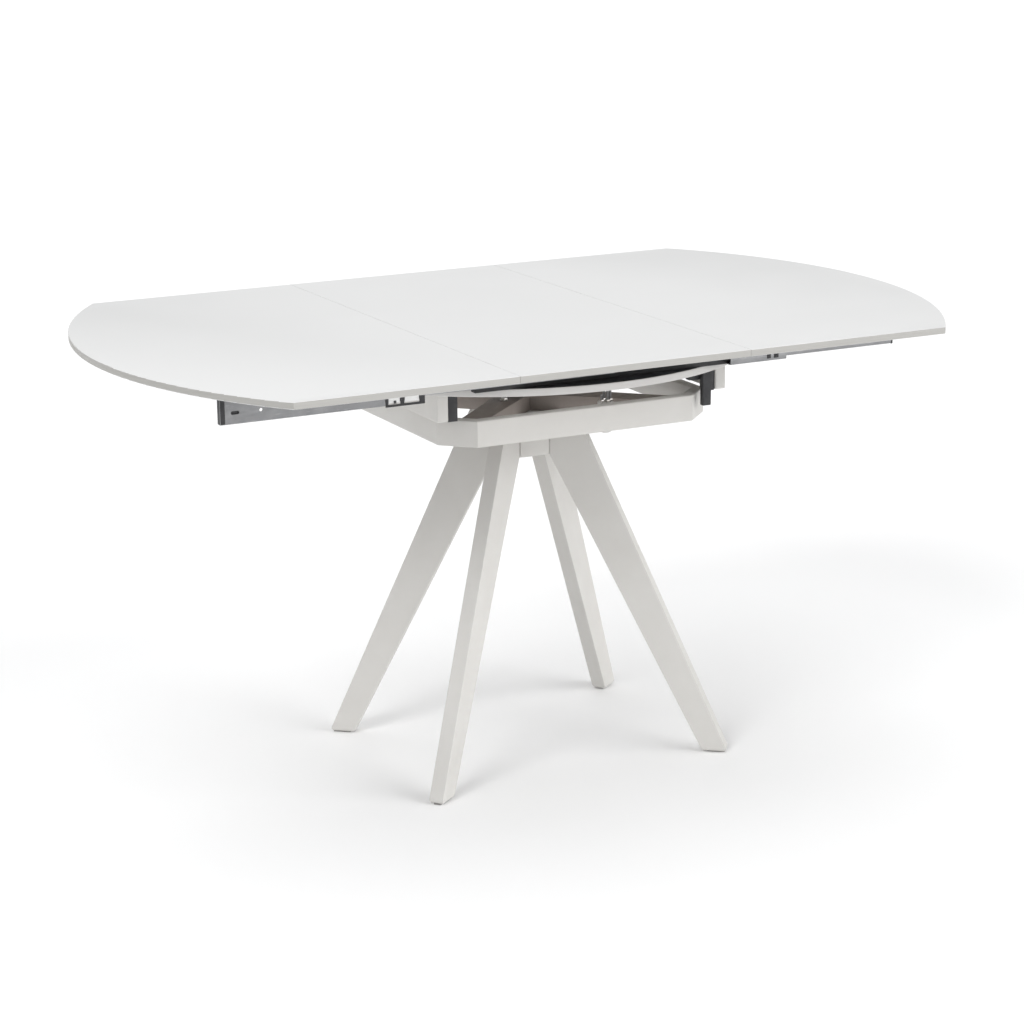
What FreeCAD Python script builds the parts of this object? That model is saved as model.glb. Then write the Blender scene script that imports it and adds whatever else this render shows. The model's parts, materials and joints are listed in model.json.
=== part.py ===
"""Extendable dining table with a swivelling top, in millimetres.

The origin is on the floor under the middle of the open top. X runs along the top and Z is up.
The pedestal and its pivot stand a little to the right of that middle. From the floor up there
are: four plank legs, a hub, an octagonal ring frame with a cross brace, the swivel bearing, the
swivel board on two beams, telescopic slides, and the two half tops with the centre leaf.
"""
import FreeCAD, Part
import math
import os
import Sketcher

DRIVING_SIZES = {
    # Top
    "table_height": 750,
    "top_length": 1430,
    "top_width": 900,
    "straight_length": 1128,
    "panel_thickness": 11,
    "leaf_length": 400,
    "panel_gap": 0.4,
    "edge_radius": 1.2,
    # Slides
    "slide_height": 45,
    "slide_middle_height": 36,
    "slide_inner_height": 28,
    "slide_line": 306.5,
    "slide_web": 1.5,
    "slide_depth": 11,
    "middle_inset": 2,
    "middle_depth": 8.5,
    "inner_inset": 4.5,
    "left_outer_start": -623,
    "left_outer_end": -357,
    "left_middle_start": -470,
    "left_middle_end": -292,
    "left_inner_start": -480,
    "left_inner_end": 40,
    "right_outer_start": 250,
    "right_outer_end": 355,
    "right_middle_start": 265,
    "right_middle_end": 562,
    "right_inner_start": 400,
    "right_inner_end": 555,
    "slot_place": 20,
    "slot_length": 8,
    "hole_place": 65,
    "hole_radius": 2.6,
    "hole_rise": 17,
    "lug_length": 40,
    "lug_depth": 7.5,
    "left_cage_start": -356,
    "left_cage_end": -291,
    "cage_sheet": 2,
    "right_cage_start": 314,
    "right_cage_length": 40,
    # Swivel board, its beams and the rails that stand on it
    "board_thickness": 12,
    "board_length": 570,
    "board_width": 660,
    "board_arc_radius": 420,
    "beam_length": 436,
    "beam_width": 20,
    "beam_height": 47,
    "beam_span": 524,
    "glide_block_length": 17,
    "glide_block_width": 20,
    "rail_width": 15,
    "rail_start": -200,
    "rail_end": 288,
    # Ring frame and its brace
    "pivot_offset": 32,
    "ring_top": 632,
    "ring_height": 43,
    "ring_length": 487,
    "ring_width": 450,
    "ring_corner": 48,
    "tube_width": 20,
    "tube_wall": 1.5,
    "brace_thickness": 28,
    "arm_end_half": 14,
    "arm_root_along": 49,
    "arm_root_across": 22,
    # Bearing and pivot
    "race_radius": 90,
    "race_bore": 30,
    "ball_circle": 75,
    "ball_radius": 4,
    "ball_fit": 0.2,
    "race_gap": 6,
    "lower_race_height": 10,
    "upper_race_height": 14,
    "pivot_radius": 8,
    "pivot_fit": 0.05,
    "pivot_head_radius": 13,
    "pivot_head_height": 8,
    "housing_radius": 30,
    # Brake and lock lever, placed from the pivot
    "brake_radius": 13,
    "brake_along": 66,
    "brake_across": 165,
    "brake_rise": 12,
    "brake_drop": 9,
    "brake_arm_width": 22,
    "brake_arm_thickness": 6,
    "pad_radius": 15,
    "pad_thickness": 5,
    "lever_along": 221,
    "lever_drop": 14,
    "lever_thickness": 10,
    "lever_pin_radius": 3,
    "lever_head_half": 9.5,
    "lever_head_drop": 20,
    "lever_length": 55,
    "bracket_width": 31.5,
    "bracket_reach": 28,
    "bracket_depth": 13,
    # Legs and hub
    "leg_azimuth": 37.7,
    "leg_thickness": 26,
    "leg_foot_outer": 350,
    "leg_foot_inner": 306.7,
    "leg_top_outer": 91.2,
    "leg_wall": 2,
    "hub_radius": 45,
    "hub_height": 70,
    "hub_wall": 4,
    "hub_plate": 5,
    "foot_radius": 6,
    "glide_height": 2,
    "leg_bolt_circle": 75,
    "bolt_head_radius": 7,
    "bolt_head_height": 5,
    "bolt_radius": 3,
}

MITRE = math.tan(math.radians(22.5))
# Distance from the cage's outer end and length of each of its windows
CAGE_WINDOWS = ((4, 20.5), (30.5, 26))

PANEL_BOTTOM = "(Sheet.table_height - Sheet.panel_thickness)"
BOARD_TOP = f"({PANEL_BOTTOM} - Sheet.slide_height)"
BOARD_BOTTOM = f"({BOARD_TOP} - Sheet.board_thickness)"
RING_BOTTOM = "(Sheet.ring_top - Sheet.ring_height)"
BRACE_TOP = f"({RING_BOTTOM} + Sheet.brace_thickness)"
LEG_TOP = f"({RING_BOTTOM} - Sheet.hub_plate)"
HUB_BOTTOM = f"({LEG_TOP} - Sheet.hub_height)"
UPPER_RACE_BOTTOM = f"({BOARD_BOTTOM} - Sheet.upper_race_height)"
LOWER_RACE_TOP = f"({UPPER_RACE_BOTTOM} - Sheet.race_gap)"
LOWER_RACE_BOTTOM = f"({LOWER_RACE_TOP} - Sheet.lower_race_height)"
RAIL_FACE = "(Sheet.slide_line - Sheet.slide_depth - 2)"
BEAM_BOTTOM = f"({BOARD_BOTTOM} - Sheet.beam_height)"
PIVOT = "Sheet.pivot_offset"

doc = FreeCAD.newDocument("dining_table")
sheet = doc.addObject("Spreadsheet::Sheet", "Sheet")
for row, (alias, size) in enumerate(DRIVING_SIZES.items(), start=1):
    sheet.set(f"A{row}", alias)
    sheet.set(f"B{row}", str(size))
    sheet.setAlias(f"B{row}", alias)
doc.recompute()

nodes = []


# ---------------------------------------------------------------- helpers

def value(expression):
    """The number that an expression over the sheet has now."""
    result = sheet.evalExpression(expression)
    return float(getattr(result, "Value", result))


def part_named(label, item):
    """Give a sub-part its node name and put it on the list of what is written."""
    item.Label = label
    nodes.append(item)
    return item


def place(item, x="0", y="0", z="0", turn=0, about=(0, 0, 1)):
    """Turn an object about an axis, then bind its position to the sheet."""
    rotation = FreeCAD.Rotation(FreeCAD.Vector(*about), turn)
    item.Placement = FreeCAD.Placement(FreeCAD.Vector(), rotation)
    for axis, expression in (("x", x), ("y", y), ("z", z)):
        item.setExpression(f"Placement.Base.{axis}", expression)
    return item


def fix(sketch, kind, edge, expression):
    """Hold an edge's first corner at a distance from the sketch's origin."""
    constraint = Sketcher.Constraint(kind, -1, 1, edge, 1, value(expression))
    index = sketch.addConstraint(constraint)
    sketch.setExpression(f"Constraints[{index}]", expression)


def outline(body, role, corners, arcs=None):
    """A closed sketch, counterclockwise. arcs gives an edge's radius and makes it bulge outwards."""
    arcs = arcs or {}
    sketch = body.newObject("Sketcher::SketchObject", "Outline")
    planes = [feature for feature in body.Origin.OriginFeatures if feature.Role == role]
    sketch.AttachmentSupport = [(planes[0], "")]
    sketch.MapMode = "FlatFace"
    points = [FreeCAD.Vector(value(across), value(along), 0) for across, along in corners]
    for index, start in enumerate(points):
        end = points[(index + 1) % len(points)]
        if index in arcs:
            sketch.addGeometry(bulging_arc(start, end, value(arcs[index])))
        else:
            sketch.addGeometry(Part.LineSegment(start, end))
    for index in range(len(points)):
        sketch.addConstraint(Sketcher.Constraint("Coincident", index, 2, (index + 1) % len(points), 1))
    for index, (across, along) in enumerate(corners):
        fix(sketch, "DistanceX", index, across)
        fix(sketch, "DistanceY", index, along)
    for index, radius in arcs.items():
        number = sketch.addConstraint(Sketcher.Constraint("Radius", index, value(radius)))
        sketch.setExpression(f"Constraints[{number}]", radius)
    return sketch


def bulging_arc(start, end, radius):
    """The shorter arc from start to end, counterclockwise, of the given radius."""
    chord = end - start
    outward = FreeCAD.Vector(chord.y, -chord.x, 0).normalize()
    rise = radius - math.sqrt(radius ** 2 - (chord.Length / 2) ** 2)
    return Part.Arc(start, (start + end) * 0.5 + outward * rise, end)


def new_body(name):
    return doc.addObject("PartDesign::Body", name)


def pad(body, sketch, length, side="One side"):
    feature = body.newObject("PartDesign::Pad", "Pad")
    feature.Profile = sketch
    feature.SideType = side
    feature.setExpression("Length", length)
    doc.recompute()
    return feature


def pocket(body, sketch, length=None, side="Symmetric"):
    """Cut a sketch out of the body, right through it when no length is given."""
    before = body.Shape.Volume
    feature = body.newObject("PartDesign::Pocket", "Pocket")
    feature.Profile = sketch
    feature.SideType = side
    if length is None:
        feature.Type = "ThroughAll"
    else:
        feature.setExpression("Length", length)
    doc.recompute()
    if body.Shape.Volume >= before:
        raise SystemExit(f"a pocket in {body.Label} cuts nothing")
    return feature


def round_edges(body, feature, radius, chosen):
    """Fillet the edges of the last feature that the function chosen picks."""
    edges = feature.Shape.Edges
    names = [f"Edge{index + 1}" for index, edge in enumerate(edges) if chosen(edge)]
    fillet = body.newObject("PartDesign::Fillet", "Fillet")
    fillet.Base = (feature, names)
    fillet.setExpression("Radius", radius)
    doc.recompute()
    return fillet


def block(name, length, width, height, x, y, z, turn=0):
    """A box whose corner stands at x, y, z, turned about that corner."""
    box = doc.addObject("Part::Box", name)
    for size, expression in (("Length", length), ("Width", width), ("Height", height)):
        box.setExpression(size, expression)
    return place(box, x, y, z, turn)


def rod(name, radius, height, x, y, z, turn=0, about=(0, 0, 1)):
    """A cylinder that starts at x, y, z."""
    cylinder = doc.addObject("Part::Cylinder", name)
    cylinder.setExpression("Radius", radius)
    cylinder.setExpression("Height", height)
    return place(cylinder, x, y, z, turn, about)


def cut(name, base, tool):
    result = doc.addObject("Part::Cut", name)
    result.Base = base
    result.Tool = tool
    return result


def fuse(name, members):
    result = doc.addObject("Part::MultiFuse", name)
    result.Shapes = members
    return result


def group(name, members):
    """Identical pieces that share one node as separate solids."""
    result = doc.addObject("Part::Compound", name)
    result.Links = members
    return result


def fastener(name, head_radius, head_height, shank_radius, shank_length, x, y, z, up=False):
    """A screw whose head's seat is at z; its shank points down, or up for a screw driven from below."""
    shank_start = z if up else f"{z} - ({shank_length})"
    head_start = f"{z} - {head_height}" if up else z
    shank = rod(name + "_shank", shank_radius, shank_length, x, y, shank_start)
    head = rod(name + "_head", head_radius, head_height, x, y, head_start)
    return fuse(name, [shank, head])


# ---------------------------------------------------------------- legs and hub

LEG_TURNS = {
    "front_left": 180 + DRIVING_SIZES["leg_azimuth"],
    "front_right": -DRIVING_SIZES["leg_azimuth"],
    "back_left": 180 - DRIVING_SIZES["leg_azimuth"],
    "back_right": DRIVING_SIZES["leg_azimuth"],
}


def leg(side, turn):
    """A tapered hollow plank in a vertical plane through the pivot, closed at its foot."""
    body = new_body("Leg")
    slope = "(Sheet.leg_foot_inner - Sheet.hub_radius)"
    foot = "Sheet.glide_height"
    profile = outline(body, "XZ_Plane", [
        (f"Sheet.leg_foot_inner - {slope} * {foot} / {HUB_BOTTOM}", foot),
        (f"Sheet.leg_foot_outer - {outer_taper()} * {foot}", foot),
        ("Sheet.leg_top_outer", LEG_TOP),
        ("Sheet.hub_radius", LEG_TOP),
        ("Sheet.hub_radius", HUB_BOTTOM),
    ])
    plank = pad(body, profile, "Sheet.leg_thickness", "Symmetric")
    rounded = round_edges(body, plank, "Sheet.foot_radius", at_foot)
    round_edges(body, rounded, "1.5", long_and_straight)
    cavity = outline(body, "XZ_Plane", [
        (f"Sheet.leg_foot_inner - {slope} * 12 / {HUB_BOTTOM} + Sheet.leg_wall", "12"),
        (f"Sheet.leg_foot_outer - {outer_taper()} * 12 - Sheet.leg_wall * 1.2", "12"),
        (f"Sheet.leg_top_outer - Sheet.leg_wall * 1.2", f"{LEG_TOP} + 1"),
        ("Sheet.hub_radius + Sheet.leg_wall", f"{LEG_TOP} + 1"),
        ("Sheet.hub_radius + Sheet.leg_wall", f"{HUB_BOTTOM} + 3"),
    ])
    pocket(body, cavity, "Sheet.leg_thickness - 2 * Sheet.leg_wall")
    place(body, PIVOT, turn=turn)
    return part_named(f"leg_{side}", body)


def outer_taper():
    """How far a leg's outer edge comes in for each millimetre of height."""
    return f"((Sheet.leg_foot_outer - Sheet.leg_top_outer) / {LEG_TOP})"


def at_foot(edge):
    """True for the four edges round the underside of a leg."""
    return edge.BoundBox.ZMax < value("Sheet.glide_height") + 1


def long_and_straight(edge):
    """True for a leg's long edges."""
    return edge.BoundBox.ZLength > value("Sheet.hub_height") / 2


def foot_glides():
    """One thin plastic glide under each foot, inside the foot's outline."""
    glides = []
    inset = "(Sheet.foot_radius + 1)"
    length = f"Sheet.leg_foot_outer - Sheet.leg_foot_inner - 2 * {inset}"
    for side, turn in LEG_TURNS.items():
        angle = math.radians(turn)
        along = f"(Sheet.leg_foot_inner + {inset})"
        aside = f"(Sheet.leg_thickness / 2 - {inset})"
        glides.append(block(
            f"Glide_{side}", length, f"2 * {aside}", "Sheet.glide_height",
            f"{PIVOT} + {along} * {math.cos(angle)} + {aside} * {math.sin(angle)}",
            f"{along} * {math.sin(angle)} - {aside} * {math.cos(angle)}",
            "0", turn,
        ))
    return part_named("foot_glides", group("FootGlides", glides))


def hub_corners(inset="0"):
    """Plan of the hub: the legs stand on its four slanted faces, as wide as a leg is thick."""
    azimuth = math.radians(DRIVING_SIZES["leg_azimuth"])
    reach = f"(Sheet.hub_radius - {inset})"
    half = f"(Sheet.leg_thickness / 2 - {inset} * 0.4)"
    near_front = (
        f"{reach} * {math.cos(azimuth)} - {half} * {math.sin(azimuth)}",
        f"{reach} * {math.sin(azimuth)} + {half} * {math.cos(azimuth)}",
    )
    near_side = (
        f"{reach} * {math.cos(azimuth)} + {half} * {math.sin(azimuth)}",
        f"{reach} * {math.sin(azimuth)} - {half} * {math.cos(azimuth)}",
    )
    corners = []
    for pair, across, along in (((near_side, near_front), 1, 1), ((near_front, near_side), -1, 1),
                                ((near_side, near_front), -1, -1), ((near_front, near_side), 1, -1)):
        for x, y in pair:
            corners.append((f"{across} * ({x})", f"{along} * ({y})"))
    return corners


def hub_core():
    """Octagonal tube between the legs' upper ends."""
    body = new_body("HubCore")
    pad(body, outline(body, "XY_Plane", hub_corners()), "Sheet.hub_height")
    pocket(body, outline(body, "XY_Plane", hub_corners("Sheet.hub_wall")))
    place(body, PIVOT, z=HUB_BOTTOM)
    return part_named("hub_core", body)


def hub_top_plate():
    """Plate over the hub and the legs, under the brace, with the pivot bolt's hole."""
    plate = block("HubPlate", "150", "130", "Sheet.hub_plate", f"{PIVOT} - 75", "-65", LEG_TOP)
    holes = [rod("HubPlateHole", "Sheet.pivot_radius + 0.3", "Sheet.hub_plate + 2",
                 PIVOT, "0", f"{LEG_TOP} - 1")]
    holes += leg_bolt_holes(LEG_TOP, "Sheet.hub_plate")
    return part_named("hub_top_plate", cut("HubTopPlate", plate, fuse("HubPlateHoles", holes)))


def hub_cover_plates():
    """Thin covers on the hub's four flat faces, between the legs."""
    azimuth = math.radians(DRIVING_SIZES["leg_azimuth"])
    front = f"(Sheet.hub_radius * {math.sin(azimuth)} + Sheet.leg_thickness / 2 * {math.cos(azimuth)})"
    side = f"(Sheet.hub_radius * {math.cos(azimuth)} + Sheet.leg_thickness / 2 * {math.sin(azimuth)})"
    wide = f"(2 * {side} - 2 * Sheet.leg_thickness * {math.sin(azimuth)} - 2)"
    narrow = f"(2 * {front} - 2 * Sheet.leg_thickness * {math.cos(azimuth)} - 2)"
    covers = [
        cover_plate("CoverFront", wide, PIVOT, f"-{front}", 0),
        cover_plate("CoverRight", narrow, f"{PIVOT} + {side}", "0", 90),
        cover_plate("CoverBack", wide, PIVOT, front, 180),
        cover_plate("CoverLeft", narrow, f"{PIVOT} - {side}", "0", 270),
    ]
    return part_named("hub_cover_plates", group("HubCoverPlates", covers))


def cover_plate(name, width, x, y, turn):
    """An upright plate with rounded lower corners, outward along its own -Y."""
    body = new_body(name)
    profile = outline(body, "XZ_Plane", [
        (f"-{width} / 2", "0"),
        (f"{width} / 2", "0"),
        (f"{width} / 2", "Sheet.hub_height"),
        (f"-{width} / 2", "Sheet.hub_height"),
    ])
    plate = pad(body, profile, "2")
    round_edges(body, plate, "6", lambda edge: edge.BoundBox.ZMax < 1 and edge.BoundBox.XLength < 1)
    return place(body, x, y, HUB_BOTTOM, turn)


# ---------------------------------------------------------------- ring frame and brace

def ring_tube(label, length, x, y, turn):
    """Rectangular tube of the ring, its outer face on its own -Y side, mitred at both ends."""
    body = new_body("RingTube")
    inner = f"{length} / 2 - Sheet.tube_width * {MITRE}"
    plan = outline(body, "XY_Plane", [
        (f"-{length} / 2", "0"),
        (f"{length} / 2", "0"),
        (inner, "Sheet.tube_width"),
        (f"-({inner})", "Sheet.tube_width"),
    ])
    pad(body, plan, "Sheet.ring_height")
    hollow = outline(body, "YZ_Plane", [
        ("Sheet.tube_wall", "Sheet.tube_wall"),
        ("Sheet.tube_width - Sheet.tube_wall", "Sheet.tube_wall"),
        ("Sheet.tube_width - Sheet.tube_wall", "Sheet.ring_height - Sheet.tube_wall"),
        ("Sheet.tube_wall", "Sheet.ring_height - Sheet.tube_wall"),
    ])
    pocket(body, hollow)
    place(body, x, y, RING_BOTTOM, turn)
    return part_named(label, body)


def ring_frame():
    """Eight tubes: four long sides and four corners at 45 degrees."""
    long_side = "(Sheet.ring_length - 2 * Sheet.ring_corner)"
    short_side = "(Sheet.ring_width - 2 * Sheet.ring_corner)"
    corner_side = f"(Sheet.ring_corner * {math.sqrt(2)})"
    half_x = "Sheet.ring_length / 2"
    half_y = "Sheet.ring_width / 2"
    ring_tube("ring_front_tube", long_side, PIVOT, f"-{half_y}", 0)
    ring_tube("ring_right_tube", short_side, f"{PIVOT} + {half_x}", "0", 90)
    ring_tube("ring_back_tube", long_side, PIVOT, half_y, 180)
    ring_tube("ring_left_tube", short_side, f"{PIVOT} - {half_x}", "0", 270)
    mid_x = f"({half_x} - Sheet.ring_corner / 2)"
    mid_y = f"({half_y} - Sheet.ring_corner / 2)"
    ring_tube("ring_front_left_corner", corner_side, f"{PIVOT} - {mid_x}", f"-{mid_y}", 315)
    ring_tube("ring_front_right_corner", corner_side, f"{PIVOT} + {mid_x}", f"-{mid_y}", 45)
    ring_tube("ring_back_right_corner", corner_side, f"{PIVOT} + {mid_x}", mid_y, 135)
    ring_tube("ring_back_left_corner", corner_side, f"{PIVOT} - {mid_x}", mid_y, 225)


def brace_arm(label, across, along):
    """Flat arm from the pivot to one corner of the ring; the four meet along the two axes."""
    body = new_body("BraceArm")
    reach = f"(Sheet.ring_corner / 2 + Sheet.tube_width * {math.sqrt(0.5)})"
    mid_x = f"(Sheet.ring_length / 2 - {reach})"
    mid_y = f"(Sheet.ring_width / 2 - {reach})"
    half_end = "Sheet.arm_end_half"
    corners = [
        ("0", "0"),
        (f"{across} * Sheet.arm_root_along", "0"),
        (f"{across} * ({mid_x} + {half_end})", f"{along} * ({mid_y} - {half_end})"),
        (f"{across} * ({mid_x} - {half_end})", f"{along} * ({mid_y} + {half_end})"),
        ("0", f"{along} * Sheet.arm_root_across"),
    ]
    if across * along < 0:
        corners.reverse()
    pad(body, outline(body, "XY_Plane", corners), "Sheet.brace_thickness")
    place(body, PIVOT, z=RING_BOTTOM)
    holes = [rod("BraceHole", "Sheet.pivot_radius + 0.3", "Sheet.brace_thickness + 2",
                 PIVOT, "0", f"{RING_BOTTOM} - 1")]
    holes += leg_bolt_holes(RING_BOTTOM, "Sheet.brace_thickness")
    return part_named(label, cut("BraceArm", body, fuse("BraceHoles", holes)))


def leg_bolt_places():
    """Where the four leg bolts stand, one over each leg."""
    for turn in LEG_TURNS.values():
        angle = math.radians(turn)
        yield (f"{PIVOT} + Sheet.leg_bolt_circle * {math.cos(angle)}",
               f"Sheet.leg_bolt_circle * {math.sin(angle)}")


def leg_bolt_holes(bottom, thickness):
    """Cutters for the leg bolts' holes through a plate."""
    return [rod("LegBoltHole", "Sheet.bolt_radius + 0.2", f"{thickness} + 2", x, y, f"{bottom} - 1")
            for x, y in leg_bolt_places()]


def leg_bolts():
    """One bolt through each brace arm and the hub plate into the leg; its head shows on the arm."""
    length = "Sheet.brace_thickness + Sheet.hub_plate + 14"
    bolts = [fastener("LegBolt", "Sheet.bolt_head_radius", "Sheet.bolt_head_height", "Sheet.bolt_radius",
                      length, x, y, BRACE_TOP) for x, y in leg_bolt_places()]
    return part_named("leg_bolts", group("LegBolts", bolts))


# ---------------------------------------------------------------- swivel bearing and pivot

def race(label, height, bottom, groove_centre):
    """Flat ring with a round groove for the balls."""
    outer = rod("RaceDisc", "Sheet.race_radius", height, PIVOT, "0", bottom)
    bore = rod("RaceBore", "Sheet.race_bore", f"{height} + 2", PIVOT, "0", f"{bottom} - 1")
    groove = doc.addObject("Part::Torus", "RaceGroove")
    groove.setExpression("Radius1", "Sheet.ball_circle")
    groove.setExpression("Radius2", "Sheet.ball_radius + Sheet.ball_fit")
    place(groove, PIVOT, "0", groove_centre)
    return part_named(label, cut(label.title(), cut("RaceRing", outer, bore), groove))


def bearing_balls(centre, count=16):
    """Balls on the bearing's pitch circle."""
    balls = []
    for number in range(count):
        angle = 2 * math.pi * number / count
        ball = doc.addObject("Part::Sphere", "Ball")
        ball.setExpression("Radius", "Sheet.ball_radius")
        place(ball, f"{PIVOT} + Sheet.ball_circle * {math.cos(angle)}",
              f"Sheet.ball_circle * {math.sin(angle)}", centre)
        balls.append(ball)
    return part_named("bearing_balls", group("BearingBalls", balls))


def pivot_housing():
    """Short column on the brace that carries the bearing."""
    height = f"({LOWER_RACE_BOTTOM} - {BRACE_TOP})"
    tube = rod("HousingTube", "Sheet.housing_radius", height, PIVOT, "0", BRACE_TOP)
    bore = rod("HousingBore", "Sheet.pivot_radius + 0.3", f"{height} + 2", PIVOT, "0", f"{BRACE_TOP} - 1")
    return part_named("pivot_housing", cut("PivotHousing", tube, bore))


def pivot_bolt():
    """Bolt from the hub's cavity up through the board, its head above the board."""
    bottom = f"({LEG_TOP} - 15)"
    shank = rod("PivotShank", "Sheet.pivot_radius", f"{BOARD_TOP} + 2.3 - {bottom}", PIVOT, "0", bottom)
    head = rod("PivotHead", "Sheet.pivot_head_radius", "Sheet.pivot_head_height",
               PIVOT, "0", f"{BOARD_TOP} + 2.3")
    return part_named("pivot_bolt", fuse("PivotBolt", [shank, head]))


def ring_around_pivot(label, radius, height, bottom):
    """A washer or nut on the pivot bolt."""
    disc = rod("Disc", radius, height, PIVOT, "0", bottom)
    bore = rod("DiscBore", "Sheet.pivot_radius", f"{height} + 2", PIVOT, "0", f"{bottom} - 1")
    return part_named(label, cut(label.title(), disc, bore))


# ---------------------------------------------------------------- brake

def brake():
    """Friction brake inside the ring's front tube: bracket, round housing with a dome, and pad."""
    radius = "Sheet.brake_radius"
    x = f"({PIVOT} + Sheet.brake_along)"
    y = "(-Sheet.brake_across)"
    low = f"({RING_BOTTOM} - Sheet.brake_drop)"
    inner_face = "(Sheet.ring_width / 2 - Sheet.tube_width)"
    arm = block("BrakeArm", "Sheet.brake_arm_width", f"{inner_face} + {y} - 5", "Sheet.brake_arm_thickness",
                f"{x} - Sheet.brake_arm_width / 2", f"-{inner_face}", "Sheet.ring_top - 14")
    hole = rod("BrakeArmHole", radius, "20", x, y, "Sheet.ring_top - 20")
    part_named("brake_bracket", cut("BrakeBracket", arm, hole))
    barrel_top = "(Sheet.ring_top + Sheet.brake_rise)"
    barrel = rod("BrakeBarrel", radius, f"{barrel_top} - {low}", x, y, low)
    dome = doc.addObject("Part::Ellipsoid", "BrakeDome")
    dome.setExpression("Radius1", "Sheet.brake_radius - 5")
    dome.setExpression("Radius2", radius)
    dome.setExpression("Radius3", radius)
    place(dome, x, y, low)
    part_named("brake_housing", fuse("BrakeHousing", [barrel, dome]))
    rise = f"({BOARD_BOTTOM} - 0.6)"
    stem = rod("PadStem", "Sheet.pad_radius / 3", f"{rise} - {barrel_top} - Sheet.pad_thickness", x, y,
               barrel_top)
    disc = rod("PadDisc", "Sheet.pad_radius", "Sheet.pad_thickness", x, y,
               f"{rise} - Sheet.pad_thickness")
    part_named("brake_pad", fuse("BrakePad", [stem, disc]))


# ---------------------------------------------------------------- swivel board and beams

def swivel_board():
    """Board with straight ends and bowed front and back edges."""
    body = new_body("SwivelBoard")
    half = "Sheet.board_length / 2"
    corner = (f"(Sheet.board_width / 2 - Sheet.board_arc_radius"
              f" + sqrt(Sheet.board_arc_radius ^ 2 - ({half}) ^ 2))")
    plan = outline(body, "XY_Plane", [
        (f"-{half}", f"-{corner}"),
        (half, f"-{corner}"),
        (half, corner),
        (f"-{half}", corner),
    ], arcs={0: "Sheet.board_arc_radius", 2: "Sheet.board_arc_radius"})
    pad(body, plan, "Sheet.board_thickness")
    place(body, PIVOT, z=BOARD_TOP + " - Sheet.board_thickness")
    hole = rod("BoardHole", "Sheet.pivot_radius + Sheet.pivot_fit", "Sheet.board_thickness + 2",
               PIVOT, "0", f"{BOARD_BOTTOM} - 1")
    return part_named("swivel_board", cut("SwivelBoard", body, hole))


def beam(side, sign):
    """Square-edged beam under the board's end, from front to back."""
    outer = "Sheet.beam_span / 2"
    start = f"{PIVOT} + {outer} - Sheet.beam_width" if sign > 0 else f"{PIVOT} - {outer}"
    return part_named(f"{side}_beam", block(
        "Beam", "Sheet.beam_width", "Sheet.beam_length", "Sheet.beam_height",
        start, "-Sheet.beam_length / 2", BEAM_BOTTOM,
    ))


def beam_screws():
    """Three flat-headed screws through the board into each beam."""
    centre = "(Sheet.beam_span / 2 - Sheet.beam_width / 2)"
    screws = []
    for sign in (-1, 1):
        for y in (-170, 0, 170):
            screws.append(fastener("BeamScrew", "4.5", "1", "2", "Sheet.board_thickness + 16",
                                   f"{PIVOT} + {sign} * {centre}", str(y), BOARD_TOP))
    return part_named("beam_screws", group("BeamScrews", screws))


def glide_blocks():
    """Plastic blocks beside the beams' ends that run just above the ring."""
    inner = "(Sheet.beam_span / 2 - Sheet.beam_width)"
    middle = "(Sheet.beam_length / 2 - Sheet.glide_block_width / 2 - 2)"
    bottom = "(Sheet.ring_top + 2)"
    blocks = []
    for across in (-1, 1):
        start = f"{PIVOT} + {inner} - Sheet.glide_block_length" if across > 0 else f"{PIVOT} - {inner}"
        for along in (-1, 1):
            blocks.append(block("GlideBlock", "Sheet.glide_block_length", "Sheet.glide_block_width",
                                f"{BOARD_BOTTOM} - {bottom}", start,
                                f"{along} * {middle} - Sheet.glide_block_width / 2", bottom))
    return part_named("glide_blocks", group("GlideBlocks", blocks))


def support_rail(side, sign):
    """Black rail on the board that carries the slides' fixed members and the leaf."""
    y = f"-{RAIL_FACE}" if sign < 0 else f"{RAIL_FACE} - Sheet.rail_width"
    return part_named(f"{side}_support_rail", block(
        "SupportRail", "Sheet.rail_end - Sheet.rail_start", "Sheet.rail_width",
        "Sheet.slide_height - 0.4", "Sheet.rail_start", y, BOARD_TOP,
    ))


# ---------------------------------------------------------------- slides

def channel(label, height, web_offset, depth, start, end, sign, top_clear="0"):
    """Slide member: a C-shaped channel whose web faces outwards, centred on the slide's height."""
    body = new_body("Channel")
    middle = f"({BOARD_TOP} + Sheet.slide_height / 2)"
    low = f"({middle} - {height} / 2)"
    high = f"({middle} + {height} / 2 - {top_clear})"
    outside = f"(Sheet.slide_line - {web_offset})"
    inside = f"({outside} - ({depth}))"
    wall = "Sheet.slide_web"
    corners = [
        (f"{sign} * {outside}", low),
        (f"{sign} * {inside}", low),
        (f"{sign} * {inside}", f"{low} + {wall}"),
        (f"{sign} * ({outside} - {wall})", f"{low} + {wall}"),
        (f"{sign} * ({outside} - {wall})", f"{high} - {wall}"),
        (f"{sign} * {inside}", f"{high} - {wall}"),
        (f"{sign} * {inside}", high),
        (f"{sign} * {outside}", high),
    ]
    if sign > 0:
        corners.reverse()
    pad(body, outline(body, "YZ_Plane", corners), f"({end}) - ({start})")
    place(body, start)
    return part_named(label, body)


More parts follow.
